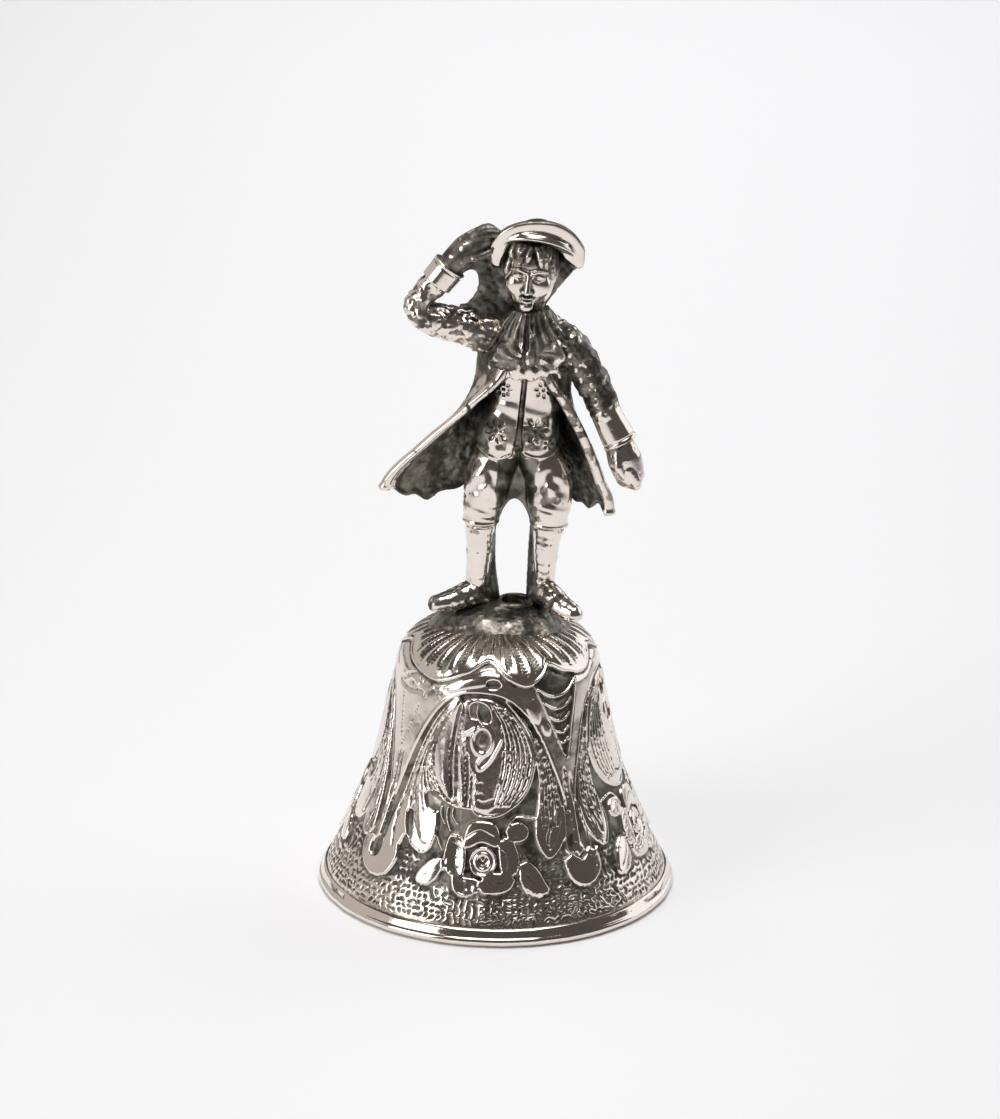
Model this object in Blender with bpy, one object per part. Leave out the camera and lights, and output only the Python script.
"""Cast silver table bell with a standing figure for its handle and a hanging clapper.

Frame: metres, +Z up. The origin is the middle of the mouth, on the plane that the bell stands on,
and the figure faces -Y. Sizes in this file are millimetres, and meshes are scaled to metres.
"""

import math

import bmesh
import bpy
from mathutils import Matrix, Vector

MM = 0.001
GAP = 0.35                # space kept between neighbouring castings
ROUND_STEPS = 64          # sides of the bell's turned pieces
LIMB_STEPS = 12           # sides of the figure's limbs

# Bell: outer profile as (height, radius), from the shell's foot to the crown.
SHELL_PROFILE = [
    (3.0, 27.1), (5.0, 26.3), (8.0, 24.6), (12.0, 22.8), (16.0, 21.2), (20.0, 19.7), (24.0, 18.7),
    (28.0, 17.8), (32.0, 16.9), (35.5, 16.2), (38.0, 15.6), (39.6, 14.9), (41.0, 13.6),
    (42.2, 11.7), (43.2, 9.0), (43.9, 5.4),
]
CROWN_TOP = 44.1
WALL = 1.3
BORE_RADIUS = 1.05

# Mouth band
BAND_OUTER = 28.2
BAND_INNER = 25.7
BAND_TOP = 2.65
BAND_SHOULDER = 1.65      # height where the band's upright side ends
BAND_SLOPE_RUN = 1.1      # how far in the sloping face reaches

# Figure: the middle of its base
FIGURE_X = 2.5

# Footplate: mound under the shoes
RECESS_RADIUS = 2.2
RECESS_FLOOR = 45.35
RECESS_RIM = 46.4
POCKET_RADIUS = 1.9
POCKET_TOP = 45.0

# Clapper
WIRE_RADIUS = 0.60
EYE_RADIUS = 1.55         # to the middle of the wire
HANGER_EYE_Z = 38.6
EYE_PLAY = 0.15
SHANK_RADIUS = 0.90
SHANK_HEAD_RADIUS = 1.45
BALL_Z = 13.2
BALL_RADIUS = 4.5
BALL_BORE = 0.95
TAIL_RADIUS = 1.25
TAIL_LENGTH = 1.2
TURN_PLAY = 0.12          # space round the turning shank
WASHER_RADIUS = 2.6
WASHER_THICKNESS = 0.6
WASHER_TOP = 42.45
COLLAR_THICKNESS = 0.5
COLLAR_RADIUS = 1.7


def clear_scene():
    for old in list(bpy.data.objects):
        bpy.data.objects.remove(old, do_unlink=True)


def make_material(name, color, roughness):
    material = bpy.data.materials.new(name)
    material.use_nodes = True
    shader = material.node_tree.nodes["Principled BSDF"]
    shader.inputs["Base Color"].default_value = (*color, 1.0)
    shader.inputs["Metallic"].default_value = 1.0
    shader.inputs["Roughness"].default_value = roughness
    material.diffuse_color = (*color, 1.0)
    return material


def new_object(name, mesh_source, material):
    """Turn a bmesh drawn in millimetres into a linked object in metres."""
    bmesh.ops.recalc_face_normals(mesh_source, faces=mesh_source.faces)
    bmesh.ops.scale(mesh_source, vec=Vector((MM, MM, MM)), verts=mesh_source.verts)
    mesh = bpy.data.meshes.new(name)
    mesh_source.to_mesh(mesh)
    mesh_source.free()
    mesh.shade_smooth()
    mesh.set_sharp_from_angle(angle=math.radians(35))
    obj = bpy.data.objects.new(name, mesh)
    bpy.context.scene.collection.objects.link(obj)
    if material is not None:
        mesh.materials.append(material)
    return obj


def join_rings(mesh_source, rings, closed_ends=True, closed_loop=False):
    """Bridge equal rings of vertices in order, and fill both ends or close the loop."""
    pairs = list(zip(rings, rings[1:]))
    if closed_loop:
        pairs.append((rings[-1], rings[0]))
    for lower, upper in pairs:
        count = len(lower)
        for i in range(count):
            j = (i + 1) % count
            mesh_source.faces.new((lower[i], lower[j], upper[j], upper[i]))
    if closed_ends and not closed_loop:
        mesh_source.faces.new(rings[0])
        mesh_source.faces.new(rings[-1])


def lathe(mesh_source, profile, steps, center=(0.0, 0.0)):
    """Turn a closed outline of (radius, height) points about a vertical line, without touching it."""
    rings = []
    for step in range(steps):
        angle = 2.0 * math.pi * step / steps
        ring = []
        for radius, height in profile:
            x = center[0] + radius * math.cos(angle)
            y = center[1] + radius * math.sin(angle)
            ring.append(mesh_source.verts.new((x, y, height)))
        rings.append(ring)
    join_rings(mesh_source, rings, closed_loop=True)


def solid_of_revolution(mesh_source, profile, steps, center=(0.0, 0.0)):
    """Turn an open outline of (radius, height) points, and close it flat at both ends."""
    rings = []
    for radius, height in profile:
        ring = []
        for step in range(steps):
            angle = 2.0 * math.pi * step / steps
            x = center[0] + radius * math.cos(angle)
            y = center[1] + radius * math.sin(angle)
            ring.append(mesh_source.verts.new((x, y, height)))
        rings.append(ring)
    join_rings(mesh_source, rings)


def loft(mesh_source, stations, steps=LIMB_STEPS, grow=0.0, level=False):
    """Skin a closed tube over stations of (centre, half width, half depth).

    Each ring stands square to the path, or lies level. The first ring's width runs along X, or
    along Y where the path itself leaves along X, and the rings turn no more than the path does.
    """
    centers = [Vector(center) for center, _, _ in stations]
    leaving = (centers[1] - centers[0]).normalized()
    side = Vector((0.0, 1.0, 0.0)) if abs(leaving.x) > 0.8 else Vector((1.0, 0.0, 0.0))
    rings = []
    for index, (_, width, depth) in enumerate(stations):
        before = centers[max(index - 1, 0)]
        after = centers[min(index + 1, len(centers) - 1)]
        along = (after - before).normalized()
        if level:
            along = Vector((0.0, 0.0, 1.0))
        side = (side - along * side.dot(along)).normalized()
        other = along.cross(side)
        shift = Vector((0.0, 0.0, 0.0))
        if grow and index == 0:
            shift = -along * grow
        if grow and index == len(stations) - 1:
            shift = along * grow
        ring = []
        for step in range(steps):
            angle = 2.0 * math.pi * step / steps
            offset = side * math.cos(angle) * (width + grow) + other * math.sin(angle) * (depth + grow)
            ring.append(mesh_source.verts.new(centers[index] + shift + offset))
        rings.append(ring)
    join_rings(mesh_source, rings)


def ellipsoid(mesh_source, center, radii, grow=0.0, steps=14, rows=8):
    sizes = [radius + grow for radius in radii]
    placing = Matrix.Translation(center) @ Matrix.Diagonal((*sizes, 1.0))
    bmesh.ops.create_uvsphere(mesh_source, u_segments=steps, v_segments=rows, radius=1.0, matrix=placing)


def torus(mesh_source, center, hole_axis, major, minor, steps=24, sides=10):
    hole_axis = Vector(hole_axis).normalized()
    first = Vector((0.0, 0.0, 1.0))
    second = hole_axis.cross(first)
    rings = []
    for step in range(steps):
        angle = 2.0 * math.pi * step / steps
        outward = first * math.cos(angle) + second * math.sin(angle)
        ring = []
        for side in range(sides):
            turn = 2.0 * math.pi * side / sides
            offset = outward * (major + minor * math.cos(turn)) + hole_axis * (minor * math.sin(turn))
            ring.append(mesh_source.verts.new(Vector(center) + offset))
        rings.append(ring)
    join_rings(mesh_source, rings, closed_loop=True)


def combine(target, tool, operation):
    """Apply one exact Boolean to target, and remove the tool."""
    modifier = target.modifiers.new("combine", "BOOLEAN")
    modifier.operation = operation
    modifier.solver = "EXACT"
    modifier.object = tool
    depsgraph = bpy.context.evaluated_depsgraph_get()
    result = bpy.data.meshes.new_from_object(target.evaluated_get(depsgraph))
    target.modifiers.remove(modifier)
    old_mesh = target.data
    target.data = result
    bpy.data.meshes.remove(old_mesh)
    bpy.data.objects.remove(tool, do_unlink=True)


def add_to(target, draw, *arguments, **options):
    """Union one drawn shape into target."""
    shape = bmesh.new()
    draw(shape, *arguments, **options)
    combine(target, new_object("tool", shape, None), "UNION")


def cut_from(target, draw, *arguments, **options):
    """Cut one drawn shape out of target."""
    shape = bmesh.new()
    draw(shape, *arguments, **options)
    combine(target, new_object("tool", shape, None), "DIFFERENCE")


def start(name, material, draw, *arguments, **options):
    shape = bmesh.new()
    draw(shape, *arguments, **options)
    return new_object(name, shape, material)


# ---------------------------------------------------------------------------------------- bell

def shell_outline(grow=0.0):
    """Outer side of the shell from its foot to the edge of the crown, moved outward by grow."""
    points = [(radius, height) for height, radius in SHELL_PROFILE]
    moved = []
    for index, (radius, height) in enumerate(points):
        low = points[max(index - 1, 0)]
        high = points[min(index + 1, len(points) - 1)]
        run = Vector((high[0] - low[0], high[1] - low[1])).normalized()
        moved.append((radius + run.y * grow, height - run.x * grow))
    return moved


def make_bell_shell(material):
    outer = shell_outline()
    inner = shell_outline(-WALL)
    inner[0] = (outer[0][0] - WALL, outer[0][1])
    profile = outer + [(BORE_RADIUS, CROWN_TOP), (BORE_RADIUS, CROWN_TOP - WALL)] + inner[::-1]
    return start("bell_shell", material, lathe, profile, ROUND_STEPS)


def make_mouth_band(material):
    profile = [
        (BAND_OUTER - 0.35, 0.0), (BAND_OUTER, 0.35), (BAND_OUTER, BAND_SHOULDER - 0.3),
        (BAND_OUTER - 0.3, BAND_SHOULDER), (BAND_OUTER - BAND_SLOPE_RUN, BAND_TOP),
        (BAND_INNER, BAND_TOP), (BAND_INNER, 0.0),
    ]
    return start("mouth_band", material, lathe, profile, ROUND_STEPS)


def make_footplate(material):
    """Mound between crown and shoes, with a round recess on top and a pocket for the rivet below."""
    mound_rings = [
        ((FIGURE_X - 1.9, -0.4, 42.0), 13.0, 8.6),
        ((FIGURE_X - 1.6, -0.6, 43.6), 12.2, 8.0),
        ((FIGURE_X - 1.0, -0.8, 44.8), 11.2, 7.0),
        ((FIGURE_X - 0.3, -0.6, 45.7), 8.8, 5.2),
    ]
    plate = start("footplate", material, loft, mound_rings, steps=28, level=True)
    add_to(plate, solid_of_revolution, [(3.6, 45.0), (3.4, 46.1), (2.9, RECESS_RIM)], 24, (FIGURE_X, 0.0))
    crown = shell_outline(GAP)[-7:] + [(0.4, CROWN_TOP + GAP)]
    below_crown = 30.0
    crown = [(crown[0][0], below_crown)] + crown
    cut_from(plate, solid_of_revolution, crown, ROUND_STEPS)
    cut_from(plate, solid_of_revolution, [(RECESS_RADIUS, RECESS_FLOOR), (RECESS_RADIUS + 0.2, 48.0)],
             24, (FIGURE_X, 0.0))
    cut_from(plate, solid_of_revolution, [(POCKET_RADIUS, 43.0), (POCKET_RADIUS, POCKET_TOP)], 24)
    for shape in shoe_shapes():
        cut_from(plate, loft, shape, grow=GAP)
    for shape in leg_shapes():
        cut_from(plate, loft, shape, grow=GAP)
    return plate


# -------------------------------------------------------------------------------------- figure

TORSO = [
    ((3.0, 1.2, 63.6), 5.0, 3.0),
    ((3.0, 1.0, 68.0), 5.9, 3.6),
    ((3.3, 0.8, 72.5), 5.8, 3.7),
    ((3.6, 0.6, 78.0), 4.9, 3.4),
    ((3.7, 0.4, 83.5), 5.2, 3.6),
    ((3.5, 0.6, 88.0), 6.0, 3.3),
    ((3.6, 0.8, 91.0), 5.2, 2.7),
    ((4.2, 0.9, 92.8), 2.6, 2.3),
]
NECK = [((4.2, 0.9, 91.5), 2.5, 2.3), ((4.3, 0.4, 97.0), 2.5, 2.5)]
HEAD_CENTER = (4.2, -0.2, 99.7)
HEAD_RADII = (3.5, 3.7, 5.0)
HAIR_WEB = [
    ((0.6, 2.6, 91.6), 4.0, 0.8),
    ((0.2, 2.6, 96.0), 3.4, 0.8),
    ((0.6, 2.5, 101.5), 3.6, 0.8),
]


def leg_shapes():
    left = [
        ((-3.6, 0.4, 46.9), 1.9, 2.0),
        ((-3.6, 0.3, 49.5), 1.9, 1.9),
        ((-3.3, 0.3, 55.0), 2.3, 2.4),
        ((-3.1, 0.0, 60.5), 2.6, 2.7),
        ((-2.4, -0.1, 66.0), 3.3, 3.1),
        ((-0.3, 0.3, 70.0), 3.6, 3.2),
    ]
    right = [
        ((6.9, 0.6, 46.9), 1.9, 2.0),
        ((7.0, 0.5, 50.0), 1.8, 1.9),
        ((7.3, 0.3, 55.0), 2.2, 2.4),
        ((7.5, -0.2, 60.5), 2.6, 2.7),
        ((7.1, -0.3, 66.0), 3.3, 3.1),
        ((5.6, 0.2, 70.0), 3.6, 3.2),
    ]
    return [left, right]


def shoe_shapes():
    left = [
        ((-2.0, 0.9, 47.1), 1.5, 1.0),
        ((-4.4, -0.4, 47.1), 1.8, 1.2),
        ((-7.2, -1.6, 46.9), 1.7, 1.0),
        ((-10.2, -2.8, 46.8), 1.1, 0.7),
    ]
    right = [
        ((6.2, 1.6, 47.1), 1.5, 1.0),
        ((7.6, -0.6, 47.1), 1.8, 1.2),
        ((9.6, -3.6, 46.8), 1.7, 1.0),
        ((11.6, -6.2, 46.6), 1.1, 0.7),
    ]
    return [left, right]


def make_figure_body(material):
    body = start("figure_body", material, loft, TORSO, steps=18, level=True)
    for shape in leg_shapes() + shoe_shapes() + [NECK, HAIR_WEB]:
        add_to(body, loft, shape)
    add_to(body, ellipsoid, HEAD_CENTER, HEAD_RADII)
    return body


# Coat: each row is one height, with points from the front edge on the -X side, round the back,
# to the front edge on the +X side.
COAT_ROWS = [
    (90.6, [(-1.6, -2.4), (-2.6, 0.4), (-0.8, 3.6), (3.7, 4.6), (8.4, 3.6), (10.2, 0.4), (9.0, -2.4)]),
    (86.0, [(-1.6, -3.9), (-3.4, 0.2), (-1.6, 3.9), (3.7, 5.2), (9.0, 3.9), (10.7, 0.2), (8.8, -3.9)]),
    (80.5, [(-3.4, -3.0), (-4.2, 0.6), (-1.6, 4.2), (3.5, 5.2), (8.6, 4.2), (10.4, 0.6), (10.0, -2.8)]),
    (73.5, [(-11.2, -1.6), (-8.6, 2.2), (-3.2, 5.2), (3.3, 5.6), (9.0, 5.0), (11.6, 1.6), (12.6, -1.4)]),
    (67.5, [(-17.2, -1.2), (-11.6, 3.4), (-4.6, 5.8), (3.2, 6.0), (9.2, 5.6), (12.6, 3.0), (15.2, 0.2)]),
    (63.6, [(-17.4, -1.0), (-11.8, 4.0), (-4.8, 6.4), (3.2, 6.6), (9.2, 6.2), (13.0, 3.6), (16.4, 1.2)]),
]
COAT_THICKNESS = 1.0
COAT_STEPS = 18


def curve_point(points, share):
    """Point on a smooth curve through points, with share from 0 to 1."""
    place = share * (len(points) - 1)
    index = min(int(place), len(points) - 2)
    t = place - index
    before = points[max(index - 1, 0)]
    here = points[index]
    there = points[index + 1]
    after = points[min(index + 2, len(points) - 1)]
    result = []
    for a, b, c, d in zip(before, here, there, after):
        result.append(0.5 * (2 * b + (c - a) * t + (2 * a - 5 * b + 4 * c - d) * t * t
                             + (3 * b - a - 3 * c + d) * t ** 3))
    return result


def coat_sheet(mesh_source, grow=0.0):
    """Closed sheet: each row is a C-shaped ring made of its outer side and its inner side."""
    rings = []
    for row, (height, points) in enumerate(COAT_ROWS):
        line = [Vector(curve_point(points, step / COAT_STEPS)) for step in range(COAT_STEPS + 1)]
        lift = {0: grow, len(COAT_ROWS) - 1: -grow}.get(row, 0.0)
        sides = []
        for index in range(COAT_STEPS + 1):
            run = (line[min(index + 1, COAT_STEPS)] - line[max(index - 1, 0)]).normalized()
            sides.append(Vector((-run.y, run.x)))
        outer = []
        inner = []
        for index, (point, side) in enumerate(zip(line, sides)):
            run = Vector((side.y, -side.x))
            end = {0: -grow, COAT_STEPS: grow}.get(index, 0.0)
            out = point + side * (COAT_THICKNESS / 2 + grow) + run * end
            back = point - side * (COAT_THICKNESS / 2 + grow) + run * end
            outer.append(mesh_source.verts.new((out.x, out.y, height + lift)))
            inner.append(mesh_source.verts.new((back.x, back.y, height + lift)))
        rings.append(outer + inner[::-1])
    join_rings(mesh_source, rings, closed_ends=False)
    for ring, flip in ((rings[0], False), (rings[-1], True)):
        for index in range(COAT_STEPS):
            quad = (ring[index], ring[index + 1], ring[-2 - index], ring[-1 - index])
            mesh_source.faces.new(quad[::-1] if flip else quad)


def make_coat(material):
    coat = start("coat", material, coat_sheet)
    cut_from(coat, loft, TORSO, steps=18, grow=GAP, level=True)
    for shape in leg_shapes() + [NECK, HAIR_WEB]:
        cut_from(coat, loft, shape, grow=GAP)
    return coat


RAISED_SLEEVE = [
    ((-3.0, 0.5, 89.7), 2.1, 2.1),
    ((-5.6, 0.2, 90.6), 2.3, 2.3),
    ((-10.0, -0.4, 91.9), 2.2, 2.2),
    ((-12.8, -0.6, 93.4), 2.3, 2.3),
    ((-12.6, -0.6, 95.8), 2.1, 2.1),
    ((-10.4, -0.6, 98.4), 2.0, 2.0),
    ((-8.2, -0.5, 100.8), 2.5, 2.3),
    ((-7.3, -0.4, 102.0), 2.5, 2.3),
]
RAISED_HAND = [
    ((-8.0, -0.4, 101.0), 1.6, 1.6),
    ((-5.6, -0.3, 104.0), 1.8, 1.6),
    ((-3.6, -0.4, 105.6), 1.7, 1.3),
    ((-1.6, -0.6, 106.4), 1.2, 0.9),
]
LOWERED_SLEEVE = [
    ((11.4, 0.7, 88.4), 1.8, 2.2),
    ((12.6, 0.7, 85.6), 2.1, 2.4),
    ((13.9, 0.5, 82.0), 2.1, 2.3),
    ((15.0, 0.0, 78.4), 2.0, 2.2),
    ((17.2, -0.5, 74.6), 2.3, 2.3),
    ((18.4, -0.8, 72.2), 2.5, 2.5),
]
LOWERED_HAND = [
    ((18.0, -0.8, 73.0), 1.9, 1.9),
    ((19.4, -1.1, 70.2), 2.1, 1.8),
    ((20.6, -1.3, 67.6), 1.7, 1.4),
    ((21.3, -1.4, 66.0), 1.0, 0.9),
]


def make_arm(name, material, sleeve, hand):
    arm = start(name, material, loft, sleeve)
    add_to(arm, loft, hand, steps=10)
    for neighbour in (coat_sheet, hat_shape):
        cut_from(arm, neighbour, grow=GAP)
    return arm


HAT_CENTER = Vector((5.0, 1.2, 103.4))
HAT_TILT = math.radians(38)
HAT_LEAN = math.radians(10)


def hat_shape(mesh_source, grow=0.0):
    """Brim and low crown as one turned solid, tipped backward and to the +X side."""
    outline = [
        (6.9 + grow, -1.0 - grow), (7.4 + grow, 0.3), (6.7 + grow, 0.9 + grow), (4.6 + grow, 1.2 + grow),
        (4.0 + grow, 3.6 + grow), (2.6 + grow, 5.0 + grow), (0.5, 5.4 + grow),
    ]
    solid_of_revolution(mesh_source, outline, 28)
    turn = Matrix.Rotation(HAT_LEAN, 4, "Y") @ Matrix.Rotation(-HAT_TILT, 4, "X")
    bmesh.ops.transform(mesh_source, matrix=Matrix.Translation(HAT_CENTER) @ turn, verts=mesh_source.verts)


def make_hat(material):
    hat = start("hat", material, hat_shape)
    cut_from(hat, ellipsoid, HEAD_CENTER, HEAD_RADII, grow=GAP)
    cut_from(hat, loft, HAIR_WEB, grow=GAP)
    cut_from(hat, loft, NECK, grow=GAP)
    return hat


# ------------------------------------------------------------------------------------- clapper

def make_clapper_hanger(material):
    """Shank turning in the crown's bore, with a rivet head above, a collar and an eye below."""
    head_low = CROWN_TOP + TURN_PLAY
    collar_top = WASHER_TOP - WASHER_THICKNESS - TURN_PLAY
    outline = [
        (SHANK_HEAD_RADIUS * 0.6, head_low + 0.55), (SHANK_HEAD_RADIUS, head_low + 0.25),
        (SHANK_HEAD_RADIUS, head_low), (SHANK_RADIUS, head_low), (SHANK_RADIUS, collar_top),
        (COLLAR_RADIUS, collar_top), (COLLAR_RADIUS, collar_top - COLLAR_THICKNESS),
        (0.8, HANGER_EYE_Z + EYE_RADIUS),
    ]
    hanger = start("clapper_hanger", material, solid_of_revolution, outline, 20)
    add_to(hanger, torus, (0.0, 0.0, HANGER_EYE_Z), (1.0, 0.0, 0.0), EYE_RADIUS, WIRE_RADIUS)
    return hanger


def make_hanger_washer(material):
    bore = SHANK_RADIUS + TURN_PLAY
    low = WASHER_TOP - WASHER_THICKNESS
    profile = [(bore, low), (WASHER_RADIUS, low), (WASHER_RADIUS, WASHER_TOP), (bore, WASHER_TOP)]
    return start("hanger_washer", material, lathe, profile, 24)


def make_clapper_rod(material):
    """Wire with a closed eye at the top and a peened tail under the ball."""
    eye_z = HANGER_EYE_Z - 2 * EYE_RADIUS + 2 * WIRE_RADIUS + EYE_PLAY
    tail_top = BALL_Z - BALL_RADIUS - 0.15
    outline = [
        (WIRE_RADIUS, eye_z - EYE_RADIUS), (WIRE_RADIUS, tail_top), (TAIL_RADIUS, tail_top),
        (TAIL_RADIUS, tail_top - 0.7), (TAIL_RADIUS * 0.5, tail_top - TAIL_LENGTH),
    ]
    rod = start("clapper_rod", material, solid_of_revolution, outline, 16)
    add_to(rod, torus, (0.0, 0.0, eye_z), (0.0, 1.0, 0.0), EYE_RADIUS, WIRE_RADIUS)
    return rod


def make_clapper_ball(material):
    rows = 14
    first = math.asin(BALL_BORE / BALL_RADIUS)
    profile = []
    for row in range(rows + 1):
        angle = first + (math.pi - 2 * first) * row / rows
        profile.append((BALL_RADIUS * math.sin(angle), BALL_Z + BALL_RADIUS * math.cos(angle)))
    return start("clapper_ball", material, lathe, profile, 32)


def main():
    clear_scene()
    polished = make_material("polished_silver", (0.86, 0.82, 0.77), 0.16)
    cast = make_material("cast_silver", (0.72, 0.69, 0.65), 0.28)
    oxidised = make_material("oxidised_silver", (0.34, 0.32, 0.30), 0.42)
    clapper = make_material("clapper_silver", (0.70, 0.68, 0.64), 0.25)
    make_bell_shell(cast)
    make_mouth_band(polished)
    make_footplate(oxidised)
    make_figure_body(cast)
    make_coat(cast)
    make_arm("raised_arm", cast, RAISED_SLEEVE, RAISED_HAND)
    make_arm("lowered_arm", cast, LOWERED_SLEEVE, LOWERED_HAND)
    make_hat(polished)
    make_clapper_hanger(clapper)
    make_hanger_washer(clapper)
    make_clapper_rod(clapper)
    make_clapper_ball(clapper)


main()
